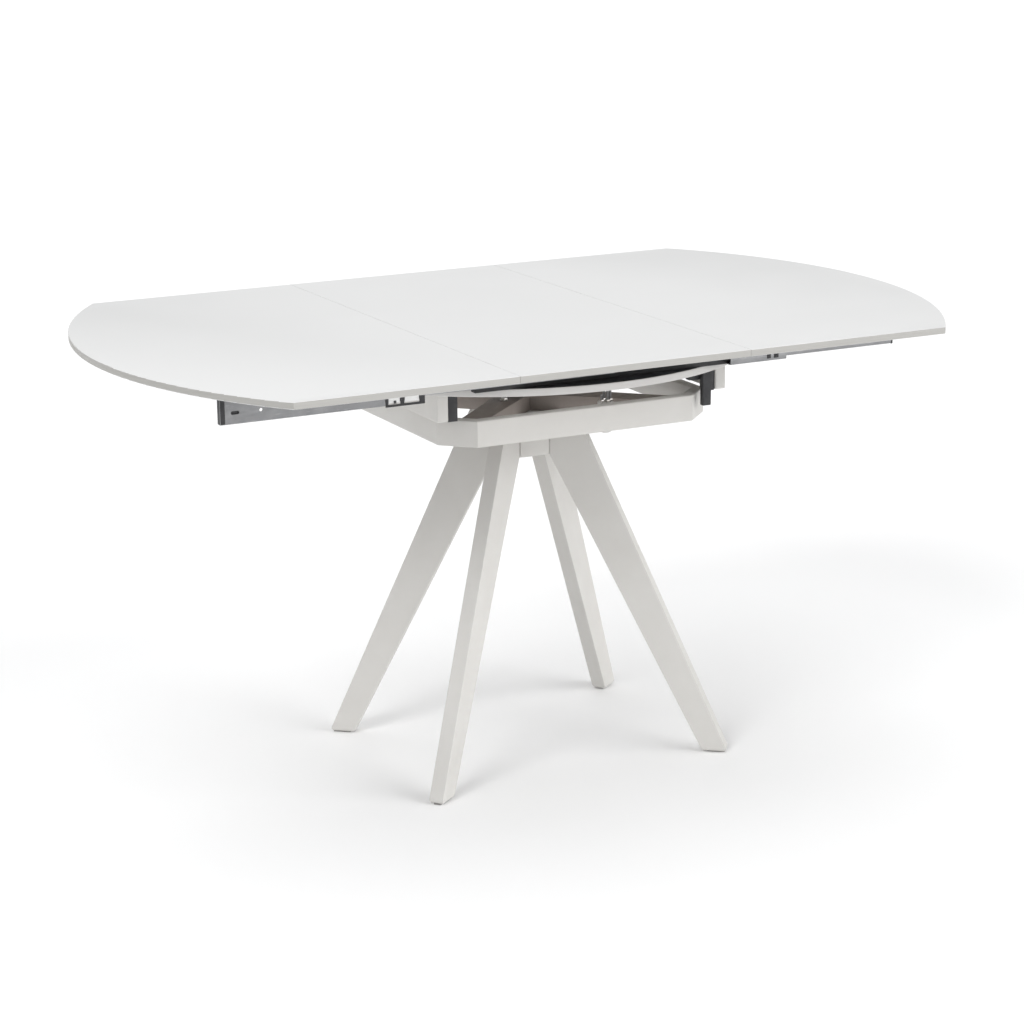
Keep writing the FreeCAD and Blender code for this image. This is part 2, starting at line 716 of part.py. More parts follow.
def slide_set(front, sign):
    """The left and right slides of one side of the table."""
    middle = ("Sheet.slide_middle_height", "Sheet.middle_inset", "Sheet.middle_depth")
    slot_channel(f"left_{front}_slide_outer", *span("left_outer"), sign)
    channel(f"left_{front}_slide_middle", *middle, *span("left_middle"), sign)
    inner_channel(f"left_{front}_slide_inner", *span("left_inner"), sign, "0")
    channel(f"right_{front}_slide_outer", "Sheet.slide_height", "0", "Sheet.slide_depth + 2",
            *span("right_outer"), sign, "0.5")
    channel(f"right_{front}_slide_middle", *middle, *span("right_middle"), sign)
    inner_channel(f"right_{front}_slide_inner", *span("right_inner"), sign, "0.5")


def span(member):
    """Start and end of a slide member along X."""
    return f"Sheet.{member}_start", f"Sheet.{member}_end"


def inner_channel(label, start, end, sign, off_rail):
    """Innermost member, its web towards the rail and its flanges outwards."""
    body = new_body("InnerChannel")
    middle = f"({BOARD_TOP} + Sheet.slide_height / 2)"
    low = f"({middle} - Sheet.slide_inner_height / 2)"
    high = f"({middle} + Sheet.slide_inner_height / 2)"
    inside = f"({RAIL_FACE} + {off_rail})"
    outside = "(Sheet.slide_line - Sheet.inner_inset)"
    wall = "Sheet.slide_web"
    corners = [
        (f"{sign} * {inside}", low),
        (f"{sign} * {inside}", high),
        (f"{sign} * {outside}", high),
        (f"{sign} * {outside}", f"{high} - {wall}"),
        (f"{sign} * ({inside} + {wall})", f"{high} - {wall}"),
        (f"{sign} * ({inside} + {wall})", f"{low} + {wall}"),
        (f"{sign} * {outside}", f"{low} + {wall}"),
        (f"{sign} * {outside}", low),
    ]
    if sign > 0:
        corners.reverse()
    pad(body, outline(body, "YZ_Plane", corners), f"({end}) - ({start})")
    place(body, start)
    return part_named(label, body)


def slot_channel(label, start, end, sign):
    """Outer member fixed to a half top, with a slot and a hole near its end."""
    solid = channel(label, "Sheet.slide_height", "0", "Sheet.slide_depth", start, end, sign)
    nodes.remove(solid)
    solid.Label = label + "_blank"
    height = f"{BOARD_TOP} + Sheet.hole_rise"
    web = "Sheet.slide_line + 5" if sign > 0 else "-Sheet.slide_line + 5"
    cutters = []
    slot = f"{start} + Sheet.slot_place"
    for x in (slot, f"{slot} + Sheet.slot_length", f"{start} + Sheet.hole_place"):
        cutters.append(rod("SlideHole", "Sheet.hole_radius", "10", x, web, height, 90, (1, 0, 0)))
    bridge = block("SlotBridge", "Sheet.slot_length", "10", "2 * Sheet.hole_radius", slot, f"{web} - 10",
                   f"{height} - Sheet.hole_radius")
    return part_named(label, cut("SlotChannel", solid, fuse("SlotCutter", cutters + [bridge])))


def slide_lugs():
    """Blocks that join the right inner members to the underside of the right half top."""
    bottom_of_inner = f"({BOARD_TOP} + Sheet.slide_height / 2 - Sheet.slide_inner_height / 2)"
    depth = "Sheet.lug_depth"
    lugs = []
    for sign in (-1, 1):
        y = f"-{RAIL_FACE} - 0.5" if sign < 0 else f"{RAIL_FACE} + 0.5 - {depth}"
        for x in (420, 510):
            lugs.append(block("SlideLug", "Sheet.lug_length", depth, f"{PANEL_BOTTOM} - {bottom_of_inner}",
                              str(x), y, bottom_of_inner))
    return part_named("slide_lugs", group("SlideLugs", lugs))


def left_cages():
    """Windowed plastic ball cages on the inward ends of the left middle members."""
    start = "Sheet.left_cage_start"
    low = f"({BOARD_TOP} - 2.5)"
    high = f"({PANEL_BOTTOM} - 2)"
    cages = []
    for sign in (-1, 1):
        y = "-Sheet.slide_line" if sign < 0 else "Sheet.slide_line - Sheet.cage_sheet"
        plate = block("Cage", f"Sheet.left_cage_end - {start}", "Sheet.cage_sheet", f"{high} - {low}",
                      start, y, low)
        openings = [block("CageWindow", str(length), "Sheet.cage_sheet + 2", f"{high} - {low} - 7",
                          f"{start} + {place_along}", f"{y} - 1", f"{low} + 3.5")
                    for place_along, length in CAGE_WINDOWS]
        cages.append(cut("WindowedCage", plate, fuse("CageWindows", openings)))
    return part_named("left_ball_cages", group("LeftBallCages", cages))


def right_cages():
    """Plastic ball cage strips above and below the right middle members."""
    middle = f"({BOARD_TOP} + Sheet.slide_height / 2)"
    half_middle = "(Sheet.slide_middle_height / 2)"
    height = f"(Sheet.slide_height / 2 - {half_middle} - Sheet.slide_web - 0.7)"
    depth = 7
    strips = []
    for sign in (-1, 1):
        y = "-Sheet.slide_line + 2.5" if sign < 0 else f"Sheet.slide_line - 2.5 - {depth}"
        for z in (f"{middle} + {half_middle}", f"{middle} - {half_middle} - {height}"):
            strips.append(block("CageStrip", "Sheet.right_cage_length", str(depth), height,
                                "Sheet.right_cage_start", y, z))
    return part_named("right_ball_cages", group("RightBallCages", strips))


# ---------------------------------------------------------------- lever

def lever_pieces():
    """Hanging lock lever in front of the right beam, its bracket and its pin."""
    x = f"({PIVOT} + Sheet.lever_along)"
    z = f"({BOARD_BOTTOM} - Sheet.lever_drop)"
    beam_face = "-Sheet.beam_length / 2"
    half = "Sheet.lever_head_half"
    body = new_body("LockLever")
    plate = outline(body, "XZ_Plane", [
        (f"-{half} + 0.5", "-Sheet.lever_length"),
        (f"{half} - 3", "-Sheet.lever_length"),
        (f"{half} - 2.5", "-Sheet.lever_head_drop - 4"),
        (half, "-Sheet.lever_head_drop"),
        (half, "0"),
        (f"-{half}", "0"),
        (f"-{half}", "-Sheet.lever_head_drop"),
    ], arcs={4: f"{half} + 0.01"})
    pad(body, plate, "Sheet.lever_thickness")
    place(body, x, f"{beam_face} - 2", z)
    hole = rod("LeverHole", "Sheet.lever_pin_radius + Sheet.pivot_fit", "9", x, f"{beam_face} - 1", z,
               90, (1, 0, 0))
    part_named("lock_lever", cut("LockLever", body, hole))
    part_named("lever_bracket", block("LeverBracket", "Sheet.bracket_width", "Sheet.bracket_depth",
                                      "Sheet.lever_drop + Sheet.bracket_depth", f"{x} - Sheet.bracket_reach",
                                      beam_face, f"{z} - Sheet.bracket_depth"))
    part_named("lever_pin", rod("LeverPin", "Sheet.lever_pin_radius", "9", x, beam_face, z,
                                90, (1, 0, 0)))


# ---------------------------------------------------------------- top

def half_top(side, sign):
    """Half of the top: straight front and back edges and a bowed end."""
    body = new_body("HalfTop")
    joint = "(Sheet.leaf_length / 2 + Sheet.panel_gap)"
    corner = "(Sheet.straight_length / 2)"
    half_width = "(Sheet.top_width / 2)"
    rise = "((Sheet.top_length - Sheet.straight_length) / 2)"
    bow = f"({half_width} ^ 2 + {rise} ^ 2) / (2 * {rise})"
    if sign > 0:
        corners = [(joint, f"-{half_width}"), (corner, f"-{half_width}"),
                   (corner, half_width), (joint, half_width)]
        curved = 1
    else:
        corners = [(f"-{corner}", f"-{half_width}"), (f"-{joint}", f"-{half_width}"),
                   (f"-{joint}", half_width), (f"-{corner}", half_width)]
        curved = 3
    plan = outline(body, "XY_Plane", corners, arcs={curved: bow})
    slab = pad(body, plan, "Sheet.panel_thickness")
    joint_x = value(joint)
    round_edges(body, slab, "Sheet.edge_radius", lambda edge: level_rim(edge, joint_x))
    place(body, z=PANEL_BOTTOM)
    return part_named(f"{side}_half_top", body)


def level_rim(edge, joint_x):
    """True for the horizontal edges around a panel, apart from those of its joint face."""
    box = edge.BoundBox
    at_joint = box.XLength < 0.1 and abs(abs(box.XMax) - joint_x) < 0.1
    return box.ZLength < 0.1 and not at_joint


def centre_leaf():
    """Loose leaf between the half tops, resting on the two rails."""
    body = new_body("CentreLeaf")
    half = "Sheet.leaf_length / 2"
    half_width = "Sheet.top_width / 2"
    plan = outline(body, "XY_Plane", [
        (f"-{half}", f"-{half_width}"),
        (half, f"-{half_width}"),
        (half, half_width),
        (f"-{half}", half_width),
    ])
    slab = pad(body, plan, "Sheet.panel_thickness")
    round_edges(body, slab, "Sheet.edge_radius",
                lambda edge: level_rim(edge, value(half)) and edge.BoundBox.YLength < 0.1)
    place(body, z=PANEL_BOTTOM)
    return part_named("centre_leaf", body)


def panel_screws(side, places):
    """Screws driven up through a slide member or a lug into the half top."""
    screws = []
    for x in places:
        for sign in (-1, 1):
            seat = f"({PANEL_BOTTOM} - Sheet.slide_web)"
            y = f"{sign} * (Sheet.slide_line - 6)"
            screws.append(fastener("PanelScrew", "3.2", "1.2", "1.6", "Sheet.slide_web + 7",
                                   str(x), y, seat, up=True))
    return part_named(f"{side}_panel_screws", group("PanelScrews", screws))


# ---------------------------------------------------------------- assembly

for leg_side, leg_turn in LEG_TURNS.items():
    leg(leg_side, leg_turn)
foot_glides()
hub_core()
hub_top_plate()
hub_cover_plates()
ring_frame()
for arm_side, (arm_x, arm_y) in {"front_left": (-1, -1), "front_right": (1, -1),
                                 "back_left": (-1, 1), "back_right": (1, 1)}.items():
    brace_arm(f"brace_arm_{arm_side}", arm_x, arm_y)
leg_bolts()
BALL_CENTRE = f"({LOWER_RACE_TOP} + Sheet.race_gap / 2)"
race("bearing_lower_race", "Sheet.lower_race_height", LOWER_RACE_BOTTOM, BALL_CENTRE)
race("bearing_upper_race", "Sheet.upper_race_height", UPPER_RACE_BOTTOM, BALL_CENTRE)
bearing_balls(BALL_CENTRE)
pivot_housing()
pivot_bolt()
ring_around_pivot("pivot_washer", "18", "2", f"({BOARD_TOP} + 0.3)")
ring_around_pivot("pivot_nut", "13", "13", f"({LEG_TOP} - 13)")
brake()
swivel_board()
beam("left", -1)
beam("right", 1)
beam_screws()
glide_blocks()
support_rail("front", -1)
support_rail("back", 1)
slide_set("front", -1)
slide_set("back", 1)
slide_lugs()
left_cages()
right_cages()
lever_pieces()
half_top("left", -1)
half_top("right", 1)
centre_leaf()
panel_screws("left", (-610, -500, -390))

doc.recompute()
for item in doc.Objects:
    if "Invalid" in item.State or "Error" in item.State:
        raise SystemExit(f"{item.Label} is {item.State}")
for node in nodes:
    if node.Shape.isNull() or not node.Shape.isValid():
        raise SystemExit(f"{node.Label} has no valid shape")

os.makedirs("parts", exist_ok=True)
for node in nodes:
    node.Shape.exportStep(f"parts/{node.Label}.step")
print(len(nodes), "sub-parts written")
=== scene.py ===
"""Looks of the extendable dining table: detailed pieces, finishes, camera and light.

Everything is in metres, in the part's own frame: the origin is on the floor under the middle of
the open top, X runs along the top and Z is up.
"""
import json
import math

import bmesh
import bpy
from mathutils import Matrix, Vector


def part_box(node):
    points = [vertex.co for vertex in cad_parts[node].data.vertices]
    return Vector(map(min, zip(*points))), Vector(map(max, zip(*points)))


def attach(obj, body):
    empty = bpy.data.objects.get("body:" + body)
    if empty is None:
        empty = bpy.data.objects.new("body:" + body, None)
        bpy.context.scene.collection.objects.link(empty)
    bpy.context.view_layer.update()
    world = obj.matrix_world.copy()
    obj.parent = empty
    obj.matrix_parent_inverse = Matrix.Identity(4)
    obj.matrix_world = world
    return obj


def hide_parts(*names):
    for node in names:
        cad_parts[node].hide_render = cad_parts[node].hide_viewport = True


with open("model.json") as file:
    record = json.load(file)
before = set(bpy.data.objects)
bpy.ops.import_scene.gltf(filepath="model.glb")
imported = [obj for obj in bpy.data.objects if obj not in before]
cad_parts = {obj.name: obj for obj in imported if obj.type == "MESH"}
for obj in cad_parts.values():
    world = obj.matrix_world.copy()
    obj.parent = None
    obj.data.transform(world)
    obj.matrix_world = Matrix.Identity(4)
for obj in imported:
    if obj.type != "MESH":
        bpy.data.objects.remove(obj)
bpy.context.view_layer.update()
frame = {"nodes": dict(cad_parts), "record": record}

NODES = frame["nodes"]
BODY_OF = {node: body for body, members in frame["record"]["behaviour"]["bodies"].items()
           for node in members}
SLOT_OF = {entry["node"]: entry["material_slot"] for entry in frame["record"]["subparts"]}
MM = 0.001


# ---------------------------------------------------------------- node-graph helpers

class Graph:
    """A material's node tree, with short calls for the nodes that the finishes share."""

    def __init__(self, name):
        self.material = bpy.data.materials.new(name)
        self.material.use_nodes = True
        self.tree = self.material.node_tree
        self.shader = self.tree.nodes["Principled BSDF"]
        self.place = self.add("ShaderNodeTexCoord").outputs["Object"]

    def add(self, kind, **settings):
        node = self.tree.nodes.new(kind)
        for key, setting in settings.items():
            setattr(node, key, setting)
        return node

    def link(self, source, target):
        self.tree.links.new(source, target)

    def stretched(self, scale):
        """Object coordinates scaled by a different amount along each axis."""
        mapping = self.add("ShaderNodeMapping")
        mapping.inputs["Scale"].default_value = scale
        self.link(self.place, mapping.inputs["Vector"])
        return mapping.outputs["Vector"]

    def noise(self, scale, detail=3.0, roughness=0.5, vector=None):
        node = self.add("ShaderNodeTexNoise")
        node.inputs["Scale"].default_value = scale
        node.inputs["Detail"].default_value = detail
        node.inputs["Roughness"].default_value = roughness
        self.link(vector or self.place, node.inputs["Vector"])
        return node.outputs["Fac"]

    def spread(self, source, low, high, start=0.3, end=0.7):
        """Map a 0..1 pattern onto the range low..high."""
        node = self.add("ShaderNodeMapRange")
        node.inputs["From Min"].default_value = start
        node.inputs["From Max"].default_value = end
        node.inputs["To Min"].default_value = low
        node.inputs["To Max"].default_value = high
        self.link(source, node.inputs["Value"])
        return node.outputs["Result"]

    def colours(self, factor, first, second):
        node = self.add("ShaderNodeMix", data_type="RGBA")
        node.inputs["A"].default_value = (*first, 1)
        node.inputs["B"].default_value = (*second, 1)
        self.link(factor, node.inputs["Factor"])
        return node.outputs["Result"]

    def over(self, factor, below, above):
        """Lay one flat colour over a colour pattern where the factor is 1."""
        node = self.add("ShaderNodeMix", data_type="RGBA")
        node.inputs["B"].default_value = (*above, 1)
        self.link(factor, node.inputs["Factor"])
        self.link(below, node.inputs["A"])
        return node.outputs["Result"]

    def bump(self, height, strength, distance, below=None):
        node = self.add("ShaderNodeBump")
        node.inputs["Strength"].default_value = strength
        node.inputs["Distance"].default_value = distance
        self.link(height, node.inputs["Height"])
        if below is not None:
            self.link(below, node.inputs["Normal"])
        return node.outputs["Normal"]

    def finish(self, colour, roughness, normal):
        self.link(colour, self.shader.inputs["Base Color"])
        self.link(roughness, self.shader.inputs["Roughness"])
        self.link(normal, self.shader.inputs["Normal"])
        return self.material


# ---------------------------------------------------------------- materials

def top_lacquer():
    """Satin white lacquer: hardly visible cloudiness and a fine orange-peel."""
    graph = Graph("top_lacquer")
    clouds = graph.noise(2.6, 4, 0.55)
    speckle = graph.noise(900, 2)
    base = graph.colours(graph.spread(clouds, 0, 1), (0.722, 0.724, 0.720), (0.732, 0.734, 0.731))
    colour = graph.over(graph.spread(speckle, 0, 0.12, 0.56, 0.74), base, (0.57, 0.57, 0.56))
    peel = graph.bump(graph.noise(420, 2), 0.10, 0.0003)
    normal = graph.bump(graph.noise(60, 2), 0.03, 0.0006, peel)
    graph.shader.inputs["Specular IOR Level"].default_value = 0.15
    graph.shader.inputs["Coat Weight"].default_value = 0.03
    graph.shader.inputs["Coat Roughness"].default_value = 0.28
    return graph.finish(colour, graph.spread(graph.noise(9, 5), 0.56, 0.66), normal)


def frame_paint(name="frame_paint", light=(0.655, 0.643, 0.618), dark=(0.620, 0.606, 0.580)):
    """Powder coat, pebbled and slightly clouded, off-white unless other colours are given."""
    graph = Graph(name)
    clouds = graph.noise(11, 5, 0.6)
    colour = graph.colours(graph.spread(clouds, 0, 1), dark, light)
    specks = graph.spread(graph.noise(1300, 2), 0, 0.16, 0.55, 0.72)
    colour = graph.over(specks, colour, (0.56, 0.545, 0.52))
    pebble = graph.bump(graph.noise(650, 3, 0.6), 0.22, 0.0004)
    normal = graph.bump(graph.noise(90, 2), 0.05, 0.0008, pebble)
    graph.shader.inputs["Specular IOR Level"].default_value = 0.40
    return graph.finish(colour, graph.spread(graph.noise(30, 4), 0.44, 0.60), normal)


def edge_band(name="board_edge", dark=(0.575, 0.563, 0.545), light=(0.615, 0.603, 0.588)):
    """Painted edge of a board, with faint lines where the layers lie."""
    graph = Graph(name)
    layers = graph.noise(1, 3, 0.6, graph.stretched((14, 14, 900)))
    colour = graph.colours(graph.spread(layers, 0, 1), dark, light)
    normal = graph.bump(layers, 0.12, 0.0004)
    return graph.finish(colour, graph.spread(graph.noise(45, 4), 0.42, 0.58), normal)


def black_laminate():
    """Dark upper face of the swivel board: fine leather-like grain and dust."""
    graph = Graph("board_black")
    dust = graph.spread(graph.noise(140, 6, 0.7), 0, 0.35, 0.52, 0.80)
    clouds = graph.spread(graph.noise(7, 3), 0, 1)
    base = graph.colours(clouds, (0.016, 0.016, 0.018), (0.024, 0.024, 0.026))
    colour = graph.over(dust, base, (0.06, 0.06, 0.06))
    normal = graph.bump(graph.noise(700, 3), 0.3, 0.0004)
    return graph.finish(colour, graph.spread(graph.noise(25, 4), 0.42, 0.62), normal)


def zinc_steel(name="slide_steel", light=(0.32, 0.322, 0.328), dark=(0.235, 0.237, 0.242), metallic=0.85,
               low=0.34, high=0.52):
    """Rolled zinc-plated strip: long draw lines, soft clouds and a few scratches."""
    graph = Graph(name)
    lines = graph.noise(1, 4, 0.65, graph.stretched((2.5, 700, 700)))
    clouds = graph.noise(22, 4, 0.6)
    colour = graph.colours(graph.spread(clouds, 0, 1), dark, light)
    scratches = graph.spread(graph.noise(1, 2, 0.5, graph.stretched((40, 1600, 260))), 0, 0.35, 0.62, 0.72)
    colour = graph.over(scratches, colour, (0.46, 0.46, 0.47))
    graph.shader.inputs["Metallic"].default_value = metallic
    normal = graph.bump(lines, 0.10, 0.0002)
    return graph.finish(colour, graph.spread(lines, low, high), normal)


def bolt_steel():
    """Bright plated fastener with slightly yellowish passivation."""
    graph = Graph("fastener_steel")
    colour = graph.colours(graph.spread(graph.noise(160, 4), 0, 1), (0.52, 0.50, 0.46), (0.68, 0.67, 0.65))
    graph.shader.inputs["Metallic"].default_value = 1.0
    normal = graph.bump(graph.noise(900, 3), 0.12, 0.0002)
    return graph.finish(colour, graph.spread(graph.noise(210, 4), 0.22, 0.42), normal)


def bearing_steel():
    """Turned steel, with rings about the pivot's axis."""
    graph = Graph("bearing_steel")
    rings = graph.add("ShaderNodeTexWave", wave_type="RINGS", rings_direction="Z")
    rings.inputs["Scale"].default_value = 260
    rings.inputs["Distortion"].default_value = 0.6
    shift = graph.add("ShaderNodeMapping")
    shift.inputs["Location"].default_value = (-pivot_x(), 0, 0)
    graph.link(graph.place, shift.inputs["Vector"])
    graph.link(shift.outputs["Vector"], rings.inputs["Vector"])
    colour = graph.colours(graph.spread(graph.noise(40, 5), 0, 1), (0.30, 0.30, 0.31), (0.44, 0.44, 0.45))
    graph.shader.inputs["Metallic"].default_value = 0.9
    normal = graph.bump(rings.outputs["Fac"], 0.08, 0.0002)
    return graph.finish(colour, graph.spread(graph.noise(120, 4), 0.26, 0.44), normal)


def black_plastic():
    """Moulded black plastic with spark-eroded grain and pale scuffs."""
    graph = Graph("black_plastic")
    clouds = graph.spread(graph.noise(55, 4), 0, 1)
    base = graph.colours(clouds, (0.018, 0.018, 0.020), (0.030, 0.030, 0.033))
    scuffs = graph.spread(graph.noise(300, 5, 0.7), 0, 0.25, 0.58, 0.8)
    colour = graph.over(scuffs, base, (0.07, 0.07, 0.075))
    grain = graph.bump(graph.noise(1500, 2), 0.35, 0.0003)
    return graph.finish(colour, graph.spread(graph.noise(80, 4), 0.40, 0.60), grain)


def rail_paint():
    """Matt black paint on the rails."""
    graph = Graph("rail_paint")
    clouds = graph.spread(graph.noise(30, 4), 0, 1)
    colour = graph.colours(clouds, (0.014, 0.014, 0.015), (0.022, 0.022, 0.023))
    normal = graph.bump(graph.noise(700, 3), 0.25, 0.0004)
    return graph.finish(colour, graph.spread(graph.noise(50, 4), 0.5, 0.66), normal)


def floor_paper():
    """Seamless white studio paper."""
    graph = Graph("floor_paper")
    clouds = graph.spread(graph.noise(1.2, 3), 0, 1)
    colour = graph.colours(clouds, (0.96, 0.96, 0.96), (0.975, 0.975, 0.975))
    normal = graph.bump(graph.noise(300, 3), 0.05, 0.0004)
    return graph.finish(colour, graph.spread(graph.noise(4, 3), 0.8, 0.9), normal)


def pivot_x():
    """X of the swivel's axis."""
    low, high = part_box("pivot_bolt")
    return (low.x + high.x) / 2


def make_materials():
    """The finishes by name; the CAD's own slots come first."""
    return {
        "top_lacquer": top_lacquer(),
        "frame_paint": frame_paint(),
        "board_paint": edge_band(),
        "board_black": black_laminate(),
        "slide_steel": zinc_steel(),
        "bearing_steel": bearing_steel(),
        "fastener_steel": bolt_steel(),
        "black_plastic": black_plastic(),
        "rail_paint": rail_paint(),
        # panels' side faces: much darker than the lacquer, painted shade on the edge
        "panel_edge_painted_shade": edge_band("panel_edge_painted_shade", (0.40, 0.392, 0.372), (0.43, 0.422, 0.402)),
        # brace arms: a darker brown-grey than the frame, painted shade from the board above them
        "brace_painted_shade": frame_paint("brace_painted_shade", (0.30, 0.26, 0.235), (0.245, 0.212, 0.192)),
        "cage_steel": zinc_steel("cage_steel", (0.80, 0.80, 0.79), (0.62, 0.62, 0.61), 0.7),
        "grey_felt": frame_paint("grey_felt", (0.30, 0.29, 0.28), (0.25, 0.24, 0.23)),
    }


def dress_cad_nodes(materials):
    """Every CAD node starts with its slot's finish."""
    for name, node in NODES.items():
        node.data.materials.clear()
        node.data.materials.append(materials[SLOT_OF[name]])


# ---------------------------------------------------------------- mesh helpers

# Faces larger than this many square metres are flat and shaded flat
LARGEST_CURVED_FACE = 0.001
CREASE_ANGLE = math.radians(35)
FLAT_ANGLE = math.radians(1.5)
WELD_DISTANCE = 2e-6


def keep(name, builder, finishes, node):
    """Finish a mesh as an extra piece that rides on the body of a CAD node."""
    bmesh.ops.remove_doubles(builder, verts=builder.verts, dist=WELD_DISTANCE / 2)
    bmesh.ops.recalc_face_normals(builder, faces=builder.faces)
    mesh = bpy.data.meshes.new(name)
    builder.to_mesh(mesh)
    builder.free()
    for finish in finishes:
        mesh.materials.append(finish)
    for face in mesh.polygons:
        face.use_smooth = face.area < LARGEST_CURVED_FACE
    mesh.set_sharp_from_angle(angle=CREASE_ANGLE)
    piece = bpy.data.objects.new(name, mesh)
    bpy.context.scene.collection.objects.link(piece)
    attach(piece, BODY_OF[node])
    return piece


def stand_for(name, builder, finishes, node):
    """Finish a mesh as the piece that replaces a CAD node."""
    piece = keep(name, builder, finishes, node)
    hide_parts(node)


def from_node(node):
    """Start a mesh from a CAD node's own shape, with its flat faces joined up."""
    builder = bmesh.new()
    builder.from_mesh(NODES[node].data)
    bmesh.ops.remove_doubles(builder, verts=builder.verts, dist=WELD_DISTANCE)
    bmesh.ops.dissolve_limit(builder, angle_limit=FLAT_ANGLE, verts=builder.verts, edges=builder.edges)
    return builder


def round_off(builder, edges, width, segments):
    """Bevel edges to a round."""
    bmesh.ops.bevel(builder, geom=edges, offset=width, segments=segments, profile=0.5,
                    affect="EDGES", clamp_overlap=True)


def soften(builder, width, segments, limit, chosen=None):
    """Round the edges sharper than a limit in degrees, or only those that chosen picks."""
    sharp = [edge for edge in builder.edges
             if len(edge.link_faces) == 2 and edge.calc_face_angle(0) > math.radians(limit)
             and (chosen is None or chosen(edge))]
    round_off(builder, sharp, width, segments)


def add_box(builder, low, high, width, segments=2):
    """A box between two corners with rounded edges."""
    made = bmesh.ops.create_cube(builder, size=1.0)["verts"]
    centre = (Vector(low) + Vector(high)) / 2
    size = Vector(high) - Vector(low)
    for vert in made:
        vert.co = vert.co * size + centre
    edges = list({edge for vert in made for edge in vert.link_edges})
    round_off(builder, edges, width, segments)


def add_turned(builder, profile, centre, steps=40):
    """A body turned about an upright axis; the profile holds (radius, height) pairs."""
    rings = []
    for radius, height in profile:
        ring = []
        for step in range(steps):
            angle = 2 * math.pi * step / steps
            offset = Vector((radius * math.cos(angle), radius * math.sin(angle), height))
            ring.append(builder.verts.new(Vector(centre) + offset))
        rings.append(ring)
    for below, above in zip(rings, rings[1:]):
        for step in range(steps):
            after = (step + 1) % steps
            builder.faces.new((below[step], below[after], above[after], above[step]))
    builder.faces.new(rings[0])
    builder.faces.new(rings[-1])


def add_hex_head(builder, centre, across_flats, height):
    """Hexagonal bolt head or nut with chamfered rims, standing on its lower face."""
    radius = across_flats / math.sqrt(3)
    profile = (
        (radius * 0.94, 0),
        (radius, height * 0.06),
        (radius, height * 0.80),
        (radius * 0.90, height),
    )
    add_turned(builder, profile, centre, steps=6)


def islands(node):
    """The lowest and highest corners of each separate solid of a node."""
    builder = bmesh.new()
    builder.from_mesh(NODES[node].data)
    bmesh.ops.remove_doubles(builder, verts=builder.verts, dist=WELD_DISTANCE)
    unseen = set(builder.verts)
    boxes = []
    while unseen:
        pending = [unseen.pop()]
        points = []
        while pending:
            vert = pending.pop()
            points.append(vert.co.copy())
            joined = {edge.other_vert(vert) for edge in vert.link_edges} & unseen
            unseen -= joined
            pending += joined
        low = Vector([min(values) for values in zip(*points)])
        high = Vector([max(values) for values in zip(*points)])
        boxes.append((low, high))
    builder.free()
    return sorted(boxes, key=lambda box: tuple(round(value, 4) for value in box[0]))


def outside_face(low, high):
    """Y of a box's side that faces away from the table's middle, and the direction inwards."""
    if low.y < 0:
        return low.y, 1
    return high.y, -1


def layer(face, inward, start, end):
    """Lower and upper Y of a layer between two depths, in millimetres, behind a face."""
    return sorted((face + start * MM * inward, face + end * MM * inward))


# ---------------------------------------------------------------- pieces

TUBE_ROUNDING = 2.2 * MM
BEAM_ROUNDING = 2.6 * MM
RAIL_ROUNDING = 1.0 * MM
BOARD_ROUNDING = 1.4 * MM
ARM_ROUNDING = 1.5 * MM
COVER_ROUNDING = 0.5 * MM
BLOCK_ROUNDING = 1.4 * MM
LEVER_ROUNDING = 1.6 * MM
SLIDE_WALL = 1.5 * MM
SLIDE_ROUNDING = 2.4 * MM
ON_FACE = 1e-5


def tops(materials):
    """The three panels: lacquered faces, and side faces in a much darker colour that is painted shade on
    the edge.
    """
    for node in ("left_half_top", "right_half_top", "centre_leaf"):
        builder = from_node(node)
        builder.normal_update()
        for face in builder.faces:
            # side faces take the darker edge colour, painted shade
            face.material_index = 1 if abs(face.normal.z) < 0.6 else 0
        stand_for(node + "_banded", builder, [materials["top_lacquer"], materials["panel_edge_painted_shade"]], node)


def ring_tubes(materials):
    """The ring's eight tubes with rounded long edges; the mitred ends stay crisp."""
    for node in NODES:
        if not node.startswith("ring_"):
            continue
        low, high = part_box(node)
        builder = from_node(node)
        soften(builder, TUBE_ROUNDING, 4, 60, lambda edge: level_on_rim(edge, low, high))
        stand_for(node + "_rounded", builder, [materials["frame_paint"]], node)


def level_on_rim(edge, low, high):
    """True for a long level edge at the top or bottom of a piece."""
    first, second = edge.verts[0].co, edge.verts[1].co
    level = abs(first.z - second.z) < ON_FACE
    on_rim = min(abs(first.z - low.z), abs(first.z - high.z)) < ON_FACE
    return level and on_rim and (first - second).length > 30 * MM


def brace_arms(materials):
    """The four arms inside the ring, with rounded edges, in a darker brown-grey than the frame that is
    painted shade from the board above.
    """
    for node in NODES:
        if node.startswith("brace_arm"):
            builder = from_node(node)
            soften(builder, ARM_ROUNDING, 3, 40)
            stand_for(node + "_rounded", builder, [materials["brace_painted_shade"]], node)


def box_piece(node, suffix, rounding, segments, finish):
    """Replace a node that is a plain bar by one with rounded edges."""
    builder = bmesh.new()
    add_box(builder, *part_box(node), rounding, segments)
    stand_for(node + suffix, builder, [finish], node)


def bars(materials):
    """The beams under the board and the rails on it."""
    for node in ("left_beam", "right_beam"):
        box_piece(node, "_rounded", BEAM_ROUNDING, 4, materials["frame_paint"])
    for node in ("front_support_rail", "back_support_rail"):
        box_piece(node, "_rounded", RAIL_ROUNDING, 2, materials["rail_paint"])


def board(materials):
    """Swivel board: white edge and underside, black laminate on the upper face."""
    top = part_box("swivel_board")[1].z
    builder = from_node("swivel_board")
    soften(builder, BOARD_ROUNDING, 3, 60)
    for face in builder.faces:
        face.material_index = 1 if face.calc_center_median().z > top - ON_FACE else 0
    finishes = [materials["board_paint"], materials["board_black"]]
    stand_for("swivel_board_banded", builder, finishes, "swivel_board")


